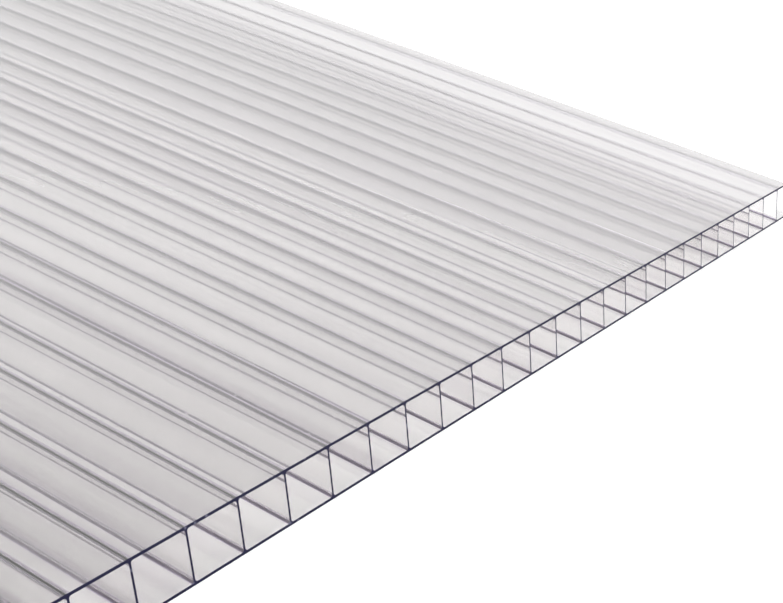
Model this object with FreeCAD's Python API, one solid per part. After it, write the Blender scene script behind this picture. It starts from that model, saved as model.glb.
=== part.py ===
"""Twin-wall polycarbonate glazing sheet, in millimetres.

Two flat skins are joined by upright ribs that run the whole length of the sheet, with a hollow
flute between each two ribs. The sheet is one extrusion: its section is drawn once and swept along
the flutes. Its left side is closed by a rib, as it leaves the die. Its right side is slit to width
between two ribs, so both skins stand out past the last rib there. It is sawn square to length, so
every flute is open at both ends.

The sheet lies flat on its lower skin. X runs across the flutes, Y along them and Z upwards. The
origin is at the middle of the underside.
"""

import FreeCAD, Part
import math
import os

# Size of the sheet as sold
sheet_width = 700.0
sheet_length = 2000.0
sheet_thickness = 10.0

# Walls of the section
skin_thickness = 0.52
rib_thickness = 0.40

# Spacing of the ribs, middle to middle
rib_pitch = 10.5

# Rounding where a rib runs into a skin
junction_radius = 0.45


def rib_middles():
    """X of each rib's middle: the first rib closes the left side, and the rest follow at the pitch.

    The last rib leaves room for its roundings, and as much again, before the right side.
    """
    first = 0.5 * (rib_thickness - sheet_width)
    room = sheet_width - rib_thickness - 2.0 * junction_radius
    count = int(room / rib_pitch) + 1
    return [first + number * rib_pitch for number in range(count)]


def at(x, z):
    """A point of the section, which is drawn at the sheet's front end."""
    return FreeCAD.Vector(x, -0.5 * sheet_length, z)


def rib_side(face_x, towards):
    """One face of a rib, with the rounding into the skin at its foot and at its head.

    towards is 1 where the hollow lies to the right of the face, and -1 where it lies to the left.
    """
    foot = skin_thickness
    head = sheet_thickness - skin_thickness
    middle_of_round = face_x + towards * junction_radius
    slant = junction_radius * math.sqrt(0.5)
    foot_round = Part.Arc(
        at(middle_of_round, foot),
        at(middle_of_round - towards * slant, foot + junction_radius - slant),
        at(face_x, foot + junction_radius),
    )
    head_round = Part.Arc(
        at(face_x, head - junction_radius),
        at(middle_of_round - towards * slant, head - junction_radius + slant),
        at(middle_of_round, head),
    )
    upright = Part.makeLine(at(face_x, foot + junction_radius), at(face_x, head - junction_radius))
    return [foot_round.toShape(), upright, head_round.toShape()]


def skin_insides(start_x, end_x):
    """The inner faces of the lower and the upper skin, between two places along X."""
    foot = skin_thickness
    head = sheet_thickness - skin_thickness
    return [Part.makeLine(at(start_x, z), at(end_x, z)) for z in (foot, head)]


def joined(edges):
    """Edges in any order as one wire."""
    return Part.Wire(Part.__sortEdges__(edges))


def flute(left_face, right_face):
    """The closed outline of the hollow between two ribs."""
    skins = skin_insides(left_face + junction_radius, right_face - junction_radius)
    return joined(rib_side(left_face, 1) + rib_side(right_face, -1) + skins)


def outside(last_face):
    """The sheet's outline: straight down the left side, and in between the skins on the right as far
    as the last rib."""
    left_x = -0.5 * sheet_width
    right_x = 0.5 * sheet_width
    edges = rib_side(last_face, 1) + skin_insides(last_face + junction_radius, right_x)
    edges.append(Part.makeLine(at(right_x, 0.0), at(right_x, skin_thickness)))
    edges.append(Part.makeLine(at(right_x, sheet_thickness - skin_thickness), at(right_x, sheet_thickness)))
    edges.append(Part.makeLine(at(left_x, 0.0), at(left_x, sheet_thickness)))
    for z in (0.0, sheet_thickness):
        edges.append(Part.makeLine(at(left_x, z), at(right_x, z)))
    return joined(edges)


def sheet_section():
    """The section as one face: the outline with a hole for each flute."""
    half_rib = 0.5 * rib_thickness
    ribs = rib_middles()
    flutes = [flute(left + half_rib, right - half_rib) for left, right in zip(ribs, ribs[1:])]
    outline = outside(ribs[-1] + half_rib)
    return Part.makeFace([outline] + flutes, "Part::FaceMakerBullseye")


def twinwall_sheet():
    """The section swept from the front end to the back end."""
    section = sheet_section().Faces[0]
    return section.extrude(FreeCAD.Vector(0.0, sheet_length, 0.0))


def main():
    os.makedirs("parts", exist_ok=True)
    sheet = twinwall_sheet()
    sheet.exportStep("parts/twinwall_sheet.step")
    print("ribs", len(rib_middles()), "volume mm3", round(sheet.Volume))


if __name__ == "__main__":
    main()
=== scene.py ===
"""A clear twin-wall polycarbonate glazing sheet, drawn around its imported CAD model.

The file is laid out as an add-on: property groups hold the sizes, the colours and the studio's
settings, one operator makes the sheet, one makes the studio, and a panel in the 3D view's sidebar
lists them. Run as a script it makes the whole scene. Lengths are in metres, apart from those whose
names end in mm, which are in millimetres.
"""

import math

import bmesh
import bpy
import numpy as np
from bpy.props import FloatProperty, FloatVectorProperty, PointerProperty
from mathutils import Matrix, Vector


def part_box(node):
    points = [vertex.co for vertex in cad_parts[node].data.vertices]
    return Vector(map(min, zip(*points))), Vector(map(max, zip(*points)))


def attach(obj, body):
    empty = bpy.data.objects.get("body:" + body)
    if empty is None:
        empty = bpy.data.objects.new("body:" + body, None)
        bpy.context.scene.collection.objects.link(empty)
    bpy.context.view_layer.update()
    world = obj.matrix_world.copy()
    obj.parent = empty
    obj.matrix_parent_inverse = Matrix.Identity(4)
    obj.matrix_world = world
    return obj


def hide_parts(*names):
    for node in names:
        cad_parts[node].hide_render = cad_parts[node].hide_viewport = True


bl_info = {
    "name": "Twin-wall polycarbonate sheet",
    "version": (1, 0, 0),
    "blender": (4, 5, 0),
    "location": "3D View > Sidebar > Glazing",
    "description": "Makes a clear twin-wall polycarbonate sheet with sawn ends, and a pale studio",
    "category": "Add Mesh",
}

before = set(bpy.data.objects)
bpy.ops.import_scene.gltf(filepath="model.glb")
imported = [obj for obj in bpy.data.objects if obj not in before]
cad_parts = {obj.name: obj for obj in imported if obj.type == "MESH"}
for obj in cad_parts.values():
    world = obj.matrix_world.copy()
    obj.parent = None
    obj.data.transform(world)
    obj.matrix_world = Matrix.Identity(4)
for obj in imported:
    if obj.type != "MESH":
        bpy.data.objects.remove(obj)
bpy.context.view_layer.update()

SHEET_NODE = "twinwall_sheet"
BODY = "root"
MM = 0.001
WHITE = (1.0, 1.0, 1.0, 1.0)

# Refractive indices of polycarbonate and of the gloss layer on it
PLASTIC_IOR = 1.585
COAT_IOR = 1.5

# Marks in the plastic: their grain across and along the flutes, and their depth
LINE_GRAIN_MM = (1.1, 2500.0)
GATHERING_GRAIN_MM = (22.0, 670.0)
STREAK_GRAIN_MM = (5.0, 1500.0)
LINE_DEPTH_MM = 0.003

# Pits in the skins
PIT_SPACING_MM = 6.0
PIT_RADIUS_MM = 0.22
PIT_DEPTH_MM = 0.01

# Marks of the saw on the ends, with about seven chips in each 10 mm
SAW_MARK_SPACING_MM = 0.4
SAW_MARK_DEPTH_MM = 0.1
CHIP_SPACING_MM = 10.0 / 7.0

# Kinds of face. Each is also the number of its material on the mesh.
SKIN, FLUTE, JUNCTION, SAWN = range(4)

# Steps of the mesh: over a rounding, over the flat between two roundings, over the open side's flat,
# and places along the sheet
ROUND_STEPS = 6
FLAT_STEPS = 5
OPEN_STEPS = 4
STATIONS = 12
WELD_DISTANCE = 1e-6
SHARP_FROM = math.radians(40.0)

# The floor lies a hair below the sheet, so that the two never share a plane
FLOOR_REACH = 12.0
FLOOR_Z = -0.0003

# X where the floor's lift seen in the sheet, a painted glow, starts to grow, and where it is full
LIFT_START_X = 0.06
LIFT_FULL_X = 0.26

# Height, as the Z of a direction, where the horizon's colour ends and the overhead one begins
HORIZON_TOP = 0.42
OVERHEAD_START = 0.60


def linear(hex_colour):
    """An sRGB hex colour such as "9fa4b8" as linear RGBA."""
    parts = np.array([int(hex_colour[i : i + 2], 16) for i in (0, 2, 4)]) / 255.0
    toe = parts / 12.92
    curve = ((parts + 0.055) / 1.055) ** 2.4
    return (*np.where(parts <= 0.04045, toe, curve).tolist(), 1.0)


def colour(name, description, hex_colour):
    """A colour that the user may change, with its default given as sRGB hex."""
    return FloatVectorProperty(
        name=name, description=description, subtype="COLOR", size=4, min=0.0, max=1.0,
        default=linear(hex_colour),
    )


class SheetSizes(bpy.types.PropertyGroup):
    """Sizes of the sheet's section, and of the hollows that cooling leaves in it."""

    skin_mm: FloatProperty(
        name="Skin", description="Thickness of each skin, in millimetres", default=0.52, min=0.1
    )
    rib_mm: FloatProperty(
        name="Rib", description="Thickness of each rib, in millimetres", default=0.40, min=0.1
    )
    pitch_mm: FloatProperty(
        name="Pitch", description="Rib spacing, middle to middle, in millimetres", default=10.5, min=2.0
    )
    junction_mm: FloatProperty(
        name="Junction", description="Rounding where a rib runs into a skin, in millimetres",
        default=0.45, min=0.05,
    )
    sink_mm: FloatProperty(
        name="Sink", description="Depth of the hollow in a skin over each rib, in millimetres",
        default=0.012, min=0.0,
    )
    dish_mm: FloatProperty(
        name="Dish", description="How far each skin dips in between two ribs, in millimetres",
        default=0.012, min=0.0,
    )


class SheetColours(bpy.types.PropertyGroup):
    """Colours of the clear polycarbonate, of its sawn edge and of the dust on it. The junction colour is
    partly painted light, and the sawn edge colour partly painted shade.
    """

    clear: colour("Clear", "Tint of the clear plastic", "fefdfd")
    streak: colour("Streak", "Tint of the plastic in the streaks along the sheet", "e6e2e6")
    # Partly painted light: this purple-grey is the plastic's tint, and it also stands in for the light that
    # runs inside the sheet and leaks out at the roundings.
    junction: colour("Junction", "Tint of the thick plastic where a rib runs into a skin", "c8bdd4")
    cast: colour("Cast", "What one skin lets through of a lamp's light", "a09f9e")
    # Partly painted shade: this dark navy is the plastic's tint over the sheet's length, and it also stands
    # in for the light that runs off along inside the walls.
    edge: colour("Sawn edge", "Colour of the sawn end, looked at along the sheet", "1b1a44")
    chipped: colour("Chipped edge", "Colour of the sawn end where the saw chipped it", "8d8ca6")
    dust: colour("Dust", "Colour of the dust on the skins", "f6f4f2")


class StudioSettings(bpy.types.PropertyGroup):
    """Camera, floor and light of the studio."""

    lens_mm: FloatProperty(
        name="Lens", description="Focal length on the sensor", default=63.296, unit="CAMERA"
    )
    sensor_mm: FloatProperty(
        name="Sensor", description="Width of the sensor", default=36.0, unit="CAMERA"
    )
    camera_place: FloatVectorProperty(
        name="Camera", description="Place of the camera", subtype="TRANSLATION", unit="LENGTH",
        default=(0.000590, -1.121507, 0.128432),
    )
    camera_turn: FloatVectorProperty(
        name="Turn", description="Rotation of the camera", subtype="EULER", unit="ROTATION",
        default=(math.radians(65.1706), math.radians(-11.5388), math.radians(-58.6771)),
    )
    camera_lean: FloatProperty(
        name="Lean", description="How far the picture's upright runs sideways for each step up",
        default=0.2335,
    )
    camera_aside: FloatProperty(
        name="Aside", description="How far the line of sight runs aside from the lens for each step along",
        default=0.17347,
    )
    camera_near: FloatProperty(
        name="Near", description="Distance from the lens at which things start to show",
        default=0.01, unit="LENGTH",
    )
    floor: colour("Floor", "Colour of the studio floor", "e7e7e7")
    floor_lift: FloatProperty(
        name="Floor lift", description="How much brighter the floor is shown than it is lit", default=0.45
    )
    sheet_lift: FloatProperty(
        name="Sheet lift", description="The same, for the floor seen through or in the sheet", default=0.14
    )
    # Painted light: the floor seen in the sheet glows brighter towards the open side, with no lamp there.
    sheet_lift_aside: FloatProperty(
        name="Sheet lift aside", description="The same, near the sheet's open side", default=0.38
    )
    horizon: colour("Horizon", "Colour of the studio near the horizon", "f4f4f5")
    overhead: colour("Overhead", "Colour of the studio overhead", "6c6c70")
    lamp_w: FloatProperty(
        name="Lamp", description="Power of the soft lamp overhead", default=82.0, unit="POWER"
    )
    lamp_size: FloatProperty(
        name="Lamp size", description="Length of each side of the lamp", default=1.2, unit="LENGTH"
    )
    lamp_place: FloatVectorProperty(
        name="Lamp place", description="Place of the lamp", subtype="TRANSLATION", unit="LENGTH",
        default=(-1.4, -0.9, 3.0),
    )
    lamp_turn: FloatVectorProperty(
        name="Lamp turn", description="Rotation of the lamp", subtype="EULER", unit="ROTATION",
        default=(math.radians(-18.0), math.radians(-25.0), 0.0),
    )


def add(tree, kind, settings=None, **links):
    """Adds a shader node of that kind, sets its attributes, and feeds its inputs.

    A link's name is the input's name with _ for a blank, or in_ and its number. Its value is a
    node's output, or a plain value that is set on the input itself.
    """
    node = tree.nodes.new(kind)
    for name, value in (settings or {}).items():
        setattr(node, name, value)
    for name, value in links.items():
        key = int(name[3:]) if name.startswith("in_") else name.replace("_", " ")
        socket = node.inputs[key]
        if isinstance(value, bpy.types.NodeSocket):
            tree.links.new(value, socket)
        else:
            socket.default_value = value
    return node


def new_material(name):
    """An empty node material and its tree."""
    material = bpy.data.materials.new(name)
    material.use_nodes = True
    material.node_tree.nodes.clear()
    return material, material.node_tree


def drawn_out(tree, grain_mm, detail=1.0):
    """Noise stretched along the flutes, with grains about so wide and so long."""
    across, along = (1.0 / (size * MM) for size in grain_mm)
    point = add(tree, "ShaderNodeTexCoord").outputs["Object"]
    at = add(tree, "ShaderNodeMapping", Vector=point, Scale=(across, along, across))
    return add(tree, "ShaderNodeTexNoise", Vector=at.outputs[0], Scale=1.0, Detail=detail).outputs["Fac"]


def die_lines(tree):
    """The fine lines that the die leaves along the flutes, as a bump.

    The lines are 1 to 3 mm apart, and gather in places about 20 mm wide.
    """
    gathering = drawn_out(tree, GATHERING_GRAIN_MM)
    gathered = add(
        tree, "ShaderNodeMapRange", Value=gathering, From_Min=0.45, From_Max=0.7, To_Min=0.15
    )
    height = add(
        tree, "ShaderNodeMath", {"operation": "MULTIPLY"},
        in_0=drawn_out(tree, LINE_GRAIN_MM), in_1=gathered.outputs[0],
    )
    return add(tree, "ShaderNodeBump", Height=height.outputs[0], Distance=LINE_DEPTH_MM * MM).outputs[0]


def pitted(tree, normal):
    """Adds tiny pits to a normal, one in each cell of their spacing, where grit touched the hot skin."""
    point = add(tree, "ShaderNodeTexCoord").outputs["Object"]
    cells = add(
        tree, "ShaderNodeTexVoronoi", {"voronoi_dimensions": "2D"},
        Vector=point, Scale=1.0 / (PIT_SPACING_MM * MM),
    )
    pit = add(
        tree, "ShaderNodeMapRange",
        Value=cells.outputs["Distance"], From_Max=PIT_RADIUS_MM / PIT_SPACING_MM, To_Min=1.0, To_Max=0.0,
    )
    bump = add(
        tree, "ShaderNodeBump", Height=pit.outputs[0], Distance=-PIT_DEPTH_MM * MM, Normal=normal
    )
    return bump.outputs[0]


def streaked(tree, colours):
    """The clear tint with faint greyer streaks, 3 to 10 mm wide, where the melt flowed unevenly."""
    flow = drawn_out(tree, STREAK_GRAIN_MM, 2.0)
    where = add(tree, "ShaderNodeMapRange", Value=flow, From_Min=0.45, From_Max=0.75)
    return add(
        tree, "ShaderNodeMix", {"data_type": "RGBA"},
        Factor=where.outputs[0], in_6=tuple(colours.clear), in_7=tuple(colours.streak),
    ).outputs[2]


def lit_through(tree, glass, cast=WHITE):
    """Finishes a clear material: a lamp's light goes straight through it, dimmed by cast.

    Only the outer faces dim it, once for each skin, so the ribs leave no bands on the floor.
    """
    passing = add(tree, "ShaderNodeBsdfTransparent", Color=tuple(cast))
    lamp_ray = add(tree, "ShaderNodeLightPath").outputs["Is Shadow Ray"]
    shown = add(
        tree, "ShaderNodeMixShader", in_0=lamp_ray, in_1=glass.outputs[0], in_2=passing.outputs[0]
    )
    add(tree, "ShaderNodeOutputMaterial", Surface=shown.outputs[0])


def extruded_skin(colours):
    """The outer faces of clear extruded polycarbonate: glossy, and bending light strongly.

    They have a thin glossy layer against sunlight, run on as the sheet leaves the die. Static draws
    fine dust to them, which veils what lies behind, more so at a low angle.
    """
    material, tree = new_material("extruded_skin")
    glass = add(
        tree, "ShaderNodeBsdfPrincipled",
        Base_Color=streaked(tree, colours), Roughness=0.0, IOR=PLASTIC_IOR, Transmission_Weight=0.97,
        Coat_Weight=0.7, Coat_IOR=COAT_IOR, Coat_Roughness=0.03,
        Sheen_Weight=0.8, Sheen_Roughness=0.6, Sheen_Tint=tuple(colours.dust),
        Normal=pitted(tree, die_lines(tree)),
    )
    lit_through(tree, glass, colours.cast)
    return material


def extruded_flute(colours):
    """The inner faces of the skins and the faces of the ribs, clean and clear as the die left them."""
    material, tree = new_material("extruded_flute")
    glass = add(
        tree, "ShaderNodeBsdfPrincipled",
        Base_Color=tuple(colours.clear), Roughness=0.0, IOR=PLASTIC_IOR, Transmission_Weight=1.0,
        Normal=die_lines(tree),
    )
    lit_through(tree, glass)
    return material


def extruded_junction(colours):
    """The roundings where a rib runs into a skin.

    Their purple-grey base colour is partly painted light: it stands in for the light that runs along
    inside the sheet and leaks out of them, so they look soft rather than black.
    """
    material, tree = new_material("extruded_junction")
    glass = add(
        tree, "ShaderNodeBsdfPrincipled",
        Base_Color=tuple(colours.junction), Roughness=0.03, IOR=PLASTIC_IOR, Transmission_Weight=0.92,
    )
    lit_through(tree, glass)
    return material


def sawn_end(colours):
    """The sawn ends of the skins and ribs.

    Light that enters here runs along inside the thin walls for their whole length, so they look dark
    and slightly blue from the end; that dark is painted shade in their base colour, the blue partly the
    plastic's own tint. The saw leaves them satin, with fine marks and paler chips.
    """
    material, tree = new_material("sawn_end")
    point = add(tree, "ShaderNodeTexCoord").outputs["Object"]
    marks = add(
        tree, "ShaderNodeTexNoise", Vector=point, Scale=1.0 / (SAW_MARK_SPACING_MM * MM), Detail=2.0
    )
    chips = add(
        tree, "ShaderNodeTexNoise", Vector=point, Scale=1.0 / (CHIP_SPACING_MM * MM), Detail=2.0
    )
    chipped = add(
        tree, "ShaderNodeMapRange", Value=chips.outputs["Fac"], From_Min=0.62, From_Max=0.72
    )
    # Dark navy base colour is painted shade; the paler chips mixed into it are real.
    tint = add(
        tree, "ShaderNodeMix", {"data_type": "RGBA"},
        Factor=chipped.outputs[0], in_6=tuple(colours.edge), in_7=tuple(colours.chipped),
    )
    bump = add(
        tree, "ShaderNodeBump",
        Height=marks.outputs["Fac"], Strength=0.4, Distance=SAW_MARK_DEPTH_MM * MM,
    )
    edge = add(
        tree, "ShaderNodeBsdfPrincipled",
        Base_Color=tint.outputs[2], Roughness=0.45, IOR=PLASTIC_IOR, Specular_IOR_Level=0.12,
        Normal=bump.outputs[0],
    )
    add(tree, "ShaderNodeOutputMaterial", Surface=edge.outputs[0])
    return material


def wall_kinds(heights, flat):
    """Kinds of the faces of a skin's inner side: a junction wherever it isn't at the flat height."""
    level = np.isclose(heights, flat)
    return np.where(level[:-1] & level[1:], FLUTE, JUNCTION)


class SheetSection:
    """The sheet's section as arrays of x and z, in metres.

    Its left side is closed by the first rib. Its right side is open, between two skins that stand out
    past the last rib. The arrays describe the lower skin from left to right, and the upper skin is the
    lower one turned upside down. At each x, dip is how far the outer face lies inside the flat, and
    inner is the height of the inner face.
    """

    def __init__(self, sizes):
        low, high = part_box(SHEET_NODE)
        self.width = high.x - low.x
        self.length = high.y - low.y
        self.height = high.z - low.z
        self.skin = sizes.skin_mm * MM
        self.half_rib = 0.5 * sizes.rib_mm * MM
        self.pitch = sizes.pitch_mm * MM
        self.radius = sizes.junction_mm * MM
        self.sink = sizes.sink_mm * MM
        self.dish = sizes.dish_mm * MM
        first = self.half_rib - 0.5 * self.width
        room = self.width - 2.0 * (self.half_rib + self.radius)
        self.ribs = first + self.pitch * np.arange(int(room / self.pitch) + 1)
        self.flutes = len(self.ribs) - 1
        self.left = self.ribs[0] - self.half_rib

        # Places along the sheet, closer together towards its ends: half its length times the sine of
        # even steps of angle
        self.stations = 0.5 * self.length * np.sin(np.linspace(-0.5 * math.pi, 0.5 * math.pi, STATIONS))

        # The lower skin from left to right: every flute's points, then the open half flute's. Its
        # inner face takes the same dish as its outer one.
        cell_x, cell_z = self.cell()
        open_x, open_z = self.overhang()
        self.cell_points = len(cell_x)
        self.open_points = len(open_x)
        self.cell_kinds = wall_kinds(cell_z, self.skin)
        self.open_kinds = wall_kinds(open_z, self.skin)
        self.x = np.concatenate([[self.left], (self.ribs[:-1, None] + cell_x).ravel(), open_x])
        level = np.concatenate([[cell_z[0]], np.tile(cell_z, self.flutes), open_z])
        from_rib = (self.x - self.ribs[0]) / self.pitch
        self.inner = level + self.dish * np.sin(math.pi * from_rib) ** 2
        self.dip = self.surface_dip()

    def rounded(self):
        """The quarter circle at a rib's foot, from the rib's face outwards.

        Its offsets from that face are the radius times one less the cosine of the angle, and its
        heights over the skin the radius times one less the sine.
        """
        angle = np.linspace(0.0, 0.5 * math.pi, ROUND_STEPS + 1)
        return self.radius * (1.0 - np.cos(angle)), self.radius * (1.0 - np.sin(angle))

    def cell(self):
        """One flute: offsets from the left rib's middle, and heights of the lower skin's inner face."""
        out, up = self.rounded()
        reach = self.pitch - 2.0 * (self.half_rib + self.radius)
        flat = self.half_rib + self.radius + reach * np.arange(1, FLAT_STEPS) / FLAT_STEPS
        left = self.half_rib + out
        x = np.concatenate([left, flat, self.pitch - left[::-1]])
        z = self.skin + np.concatenate([up, np.zeros(len(flat)), up[::-1]])
        return x, z

    def overhang(self):
        """The open half flute at the right side: x, and heights of the lower skin's inner face."""
        out, up = self.rounded()
        start = self.ribs[-1] + self.half_rib
        room = 0.5 * self.width - start - self.radius
        flat = start + self.radius + room * np.arange(1, OPEN_STEPS + 1) / OPEN_STEPS
        x = np.concatenate([start + out, flat])
        z = self.skin + np.concatenate([up, np.zeros(OPEN_STEPS)])
        return x, z

    def surface_dip(self):
        """How far the outer face lies inside the flat at each x.

        It is a smooth dish between each two ribs, a squared sine of the distance from the rib, plus a
        narrow bell-shaped sink over the rib itself.
        """
        near = (self.x - self.ribs[0] + 0.5 * self.pitch) % self.pitch - 0.5 * self.pitch
        dish = self.dish * np.sin(math.pi * near / self.pitch) ** 2
        sink = self.sink * np.exp(-((near / (2.0 * self.half_rib)) ** 2))
        return dish + sink


def grid_faces(rows, columns):
    """Corner numbers of the quads of a grid of points stored row by row, as an array of n by 4."""
    row, column = np.meshgrid(np.arange(rows - 1), np.arange(columns - 1), indexing="ij")
    corner = row * columns + column
    return np.stack([corner, corner + 1, corner + columns + 1, corner + columns], -1).reshape(-1, 4)


def carried(x, z, stations, kinds, turned=False):
    """A profile carried along Y, as points, faces and the kind of each face.

    kinds gives a kind for each step of the profile. A turned surface faces the other way.
    """
    points = np.empty((len(stations), len(x), 3))
    points[..., 0] = x
    points[..., 1] = stations[:, None]
    points[..., 2] = z
    faces = grid_faces(len(stations), len(x))
    return points.reshape(-1, 3), faces[:, ::-1] if turned else faces, np.tile(kinds, len(stations) - 1)


def outer_faces(section):
    """The underside, the top face and the closed left side."""
    kinds = np.full(len(section.x) - 1, SKIN)
    underside = carried(section.x, section.dip, section.stations, kinds, turned=True)
    top = carried(section.x, section.height - section.dip, section.stations, kinds)
    dip, inner = section.dip[0], section.inner[0]
    side_z = np.array([section.height - dip, section.height - inner, inner, dip])
    side = carried(np.full(4, section.left), side_z, section.stations, np.full(3, SKIN), turned=True)
    return [underside, top, side]


def flute_walls(section):
    """Each flute: the lower skin from left to right, then the upper skin back, closed at the left rib."""
    kinds = np.concatenate([section.cell_kinds, [FLUTE], section.cell_kinds[::-1], [FLUTE]])
    walls = []
    for flute in range(section.flutes):
        start = 1 + flute * section.cell_points
        x = section.x[start : start + section.cell_points]
        z = section.inner[start : start + section.cell_points]
        ring_x = np.concatenate([x, x[::-1], x[:1]])
        ring_z = np.concatenate([z, section.height - z[::-1], z[:1]])
        walls.append(carried(ring_x, ring_z, section.stations, kinds))
    return walls


def open_side(section):
    """The open half flute, from the underside's corner in to the last rib and out again."""
    x = section.x[-section.open_points :][::-1]
    z = section.inner[-section.open_points :][::-1]
    corner = section.dip[-1]
    slot_x = np.concatenate([x[:1], x, x[::-1], x[:1]])
    slot_z = np.concatenate([[corner], z, section.height - z[::-1], [section.height - corner]])
    kinds = section.open_kinds
    ring = np.concatenate([[SKIN], kinds[::-1], [FLUTE], kinds, [SKIN]])
    return carried(slot_x, slot_z, section.stations, ring)


def sawn_strip(section, y, first, second):
    """The sawn end of one skin, between the two faces given by their heights, without the ribs."""
    points = np.empty((2, len(section.x), 3))
    points[..., 0] = section.x
    points[..., 1] = y
    points[0, :, 2] = np.minimum(first, second)
    points[1, :, 2] = np.maximum(first, second)
    rib_starts = np.arange(section.flutes + 1) * section.cell_points
    return points.reshape(-1, 3), np.delete(grid_faces(2, len(section.x)), rib_starts, axis=0)


def sawn_ribs(section, y):
    """The sawn end of every rib as one face each, with the skins above and below it."""
    left = np.arange(section.flutes + 1) * section.cell_points
    right = left + 1
    low = [(left, section.dip), (right, section.dip), (right, section.inner)]
    high = [(right, section.inner), (right, section.dip), (left, section.dip), (left, section.inner)]
    corners = [(at, heights[at]) for at, heights in low]
    corners += [(at, section.height - heights[at]) for at, heights in high]
    corners.append((left, section.inner[left]))
    points = np.stack([np.stack([section.x[at], np.full(len(at), y), z], -1) for at, z in corners], 1)
    points = points.reshape(-1, 3)
    return points, np.arange(len(points)).reshape(-1, len(corners))


def sawn_ends(section):
    """Both sawn ends of the sheet."""
    surfaces = []
    for y in (-0.5 * section.length, 0.5 * section.length):
        pieces = [
            sawn_strip(section, y, section.dip, section.inner),
            sawn_strip(section, y, section.height - section.dip, section.height - section.inner),
            sawn_ribs(section, y),
        ]
        for points, faces in pieces:
            surfaces.append((points, faces if y < 0.0 else faces[:, ::-1], np.full(len(faces), SAWN)))
    return surfaces


def mesh_of(name, surfaces):
    """One welded mesh of all the surfaces, each face with the material of its kind."""
    points, faces, kinds, first = [], [], [], 0
    for surface_points, surface_faces, surface_kinds in surfaces:
        points.append(surface_points)
        faces += (surface_faces + first).tolist()
        kinds.append(surface_kinds)
        first += len(surface_points)
    mesh = bpy.data.meshes.new(name)
    mesh.from_pydata(np.concatenate(points), [], faces)
    mesh.polygons.foreach_set("material_index", np.concatenate(kinds).astype(np.int32))
    work = bmesh.new()
    work.from_mesh(mesh)
    bmesh.ops.remove_doubles(work, verts=work.verts, dist=WELD_DISTANCE)
    work.to_mesh(mesh)
    work.free()
    mesh.shade_smooth()
    mesh.set_sharp_from_angle(angle=SHARP_FROM)
    return mesh


class GLAZING_OT_sheet(bpy.types.Operator):
    """Make the twin-wall sheet, with its flutes, its rounded junctions and its sawn ends"""

    bl_idname = "glazing.sheet"
    bl_label = "Twin-wall sheet"

    def execute(self, context):
        scene = context.scene
        section = SheetSection(scene.sheet_sizes)
        surfaces = [*outer_faces(section), *flute_walls(section), open_side(section), *sawn_ends(section)]
        mesh = mesh_of("sheet", surfaces)
        for finish in (extruded_skin, extruded_flute, extruded_junction, sawn_end):
            mesh.materials.append(finish(scene.sheet_colours))
        sheet = bpy.data.objects.new("sheet", mesh)
        scene.collection.objects.link(sheet)
        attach(sheet, BODY)
        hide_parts(SHEET_NODE)
        return {"FINISHED"}


def studio_floor_paint(studio):
    """Matt white studio floor, lifted to white where it is seen straight.

    Seen through or in the sheet it is lifted less, and more towards the right: that growth is a painted
    pool of light, with no lamp behind it.
    The sheet's shadow shows in it.
    """
    material, tree = new_material("studio_floor_paint")
    matt = add(tree, "ShaderNodeBsdfDiffuse", Color=tuple(studio.floor))
    path = add(tree, "ShaderNodeLightPath")
    in_sheet = add(
        tree, "ShaderNodeMath", {"operation": "MAXIMUM"},
        in_0=path.outputs["Is Glossy Ray"], in_1=path.outputs["Is Transmission Ray"],
    )
    point = add(tree, "ShaderNodeTexCoord").outputs["Object"]
    # Painted pool of light: the lift seen in the sheet grows from left to right.
    aside = add(
        tree, "ShaderNodeMapRange", Value=add(tree, "ShaderNodeSeparateXYZ", Vector=point).outputs["X"],
        From_Min=LIFT_START_X, From_Max=LIFT_FULL_X, To_Min=studio.sheet_lift, To_Max=studio.sheet_lift_aside,
    )
    through = add(
        tree, "ShaderNodeMath", {"operation": "MULTIPLY"}, in_0=in_sheet.outputs[0], in_1=aside.outputs[0]
    )
    lift = add(
        tree, "ShaderNodeMath", {"operation": "MULTIPLY_ADD"},
        in_0=path.outputs["Is Camera Ray"], in_1=studio.floor_lift, in_2=through.outputs[0],
    )
    glow = add(tree, "ShaderNodeEmission", Color=WHITE, Strength=lift.outputs[0])
    both = add(tree, "ShaderNodeAddShader", in_0=matt.outputs[0], in_1=glow.outputs[0])
    add(tree, "ShaderNodeOutputMaterial", Surface=both.outputs[0])
    return material


def studio_floor(studio):
    """The floor, a wide flat plane."""
    sides = [(-1, -1), (1, -1), (1, 1), (-1, 1)]
    corners = [(x * FLOOR_REACH, y * FLOOR_REACH, FLOOR_Z) for x, y in sides]
    plane = bpy.data.meshes.new("studio_floor")
    plane.from_pydata(corners, [], [(0, 1, 2, 3)])
    plane.materials.append(studio_floor_paint(studio))
    return bpy.data.objects.new("studio_floor", plane)


def soft_lamp(studio):
    """The lamp overhead. It doesn't show in the gloss of the sheet."""
    lamp = bpy.data.lights.new("soft_lamp", "AREA")
    lamp.shape = "SQUARE"
    lamp.size = studio.lamp_size
    lamp.energy = studio.lamp_w
    holder = bpy.data.objects.new("soft_lamp", lamp)
    holder.location = studio.lamp_place
    holder.rotation_euler = studio.lamp_turn
    holder.visible_glossy = False
    return holder


def camera_on_stand(studio):
    """The camera and its stand.

    The photograph was sheared and cropped off its centre. The oblique matrix between the stand and
    the camera does the same to the picture.
    """
    lens = bpy.data.cameras.new("camera")
    lens.lens = studio.lens_mm
    lens.sensor_width = studio.sensor_mm
    lens.clip_start = studio.camera_near
    stand = bpy.data.objects.new("camera_stand", None)
    stand.location = studio.camera_place
    stand.rotation_euler = studio.camera_turn
    camera = bpy.data.objects.new("camera", lens)
    camera.parent = stand
    oblique = Matrix.Identity(4)
    oblique[0][1] = studio.camera_lean
    oblique[0][2] = studio.camera_aside
    camera.matrix_parent_inverse = oblique
    return camera, stand


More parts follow.
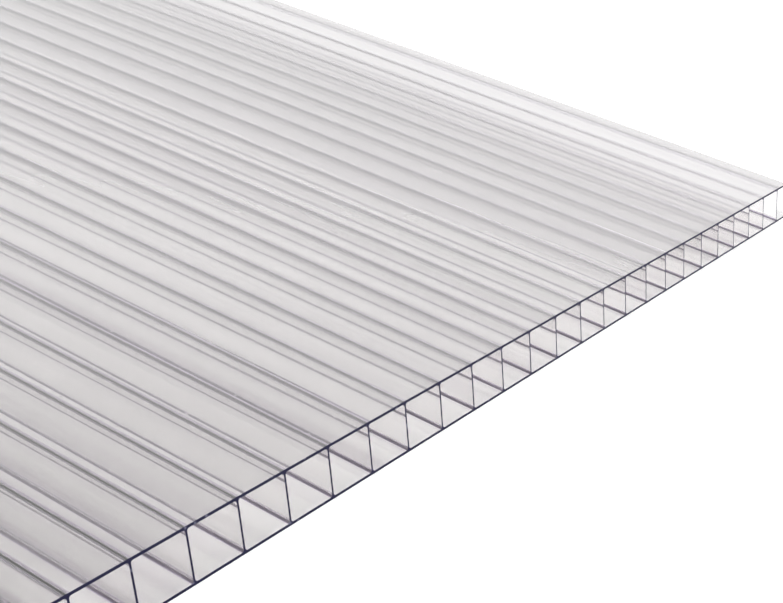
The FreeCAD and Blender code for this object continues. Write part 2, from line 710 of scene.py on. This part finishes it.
def studio_world(studio):
    """Soft light from all round: bright near the horizon, where a backdrop hangs, and grey overhead."""
    world = bpy.data.worlds.new("studio")
    world.use_nodes = True
    tree = world.node_tree
    tree.nodes.clear()
    direction = add(tree, "ShaderNodeTexCoord").outputs["Generated"]
    up = add(tree, "ShaderNodeSeparateXYZ", Vector=direction).outputs["Z"]
    ramp = add(tree, "ShaderNodeValToRGB", Fac=up)
    horizon, overhead = ramp.color_ramp.elements
    horizon.position = HORIZON_TOP
    horizon.color = tuple(studio.horizon)
    overhead.position = OVERHEAD_START
    overhead.color = tuple(studio.overhead)
    sky = add(tree, "ShaderNodeBackground", Color=ramp.outputs[0], Strength=1.0)
    add(tree, "ShaderNodeOutputWorld", Surface=sky.outputs[0])
    return world


class GLAZING_OT_studio(bpy.types.Operator):
    """Make the pale floor, the soft light and the camera"""

    bl_idname = "glazing.studio"
    bl_label = "Studio"

    def execute(self, context):
        scene = context.scene
        studio = scene.studio_settings
        floor = studio_floor(studio)
        camera, stand = camera_on_stand(studio)
        for thing in (floor, soft_lamp(studio), stand, camera):
            scene.collection.objects.link(thing)
        scene.camera = camera
        scene.world = studio_world(studio)
        scene.view_settings.view_transform = "Standard"
        return {"FINISHED"}


class GLAZING_PT_panel(bpy.types.Panel):
    """Lists the operators and their settings."""

    bl_idname = "GLAZING_PT_panel"
    bl_label = "Twin-wall sheet"
    bl_space_type = "VIEW_3D"
    bl_region_type = "UI"
    bl_category = "Glazing"

    def draw(self, context):
        for operator, settings in (
            (GLAZING_OT_sheet, (context.scene.sheet_sizes, context.scene.sheet_colours)),
            (GLAZING_OT_studio, (context.scene.studio_settings,)),
        ):
            self.layout.operator(operator.bl_idname)
            for group in settings:
                for name in group.__annotations__:
                    self.layout.prop(group, name)


GROUPS = {"sheet_sizes": SheetSizes, "sheet_colours": SheetColours, "studio_settings": StudioSettings}
CLASSES = (*GROUPS.values(), GLAZING_OT_sheet, GLAZING_OT_studio, GLAZING_PT_panel)


def register():
    """Makes the operators, the panel and the settings known."""
    for cls in CLASSES:
        bpy.utils.register_class(cls)
    for name, group in GROUPS.items():
        setattr(bpy.types.Scene, name, PointerProperty(type=group))


def unregister():
    """Takes them away again."""
    for name in GROUPS:
        delattr(bpy.types.Scene, name)
    for cls in reversed(CLASSES):
        bpy.utils.unregister_class(cls)


def main():
    """Makes the whole scene."""
    register()
    bpy.ops.glazing.studio()
    bpy.ops.glazing.sheet()


if __name__ == "__main__":
    main()
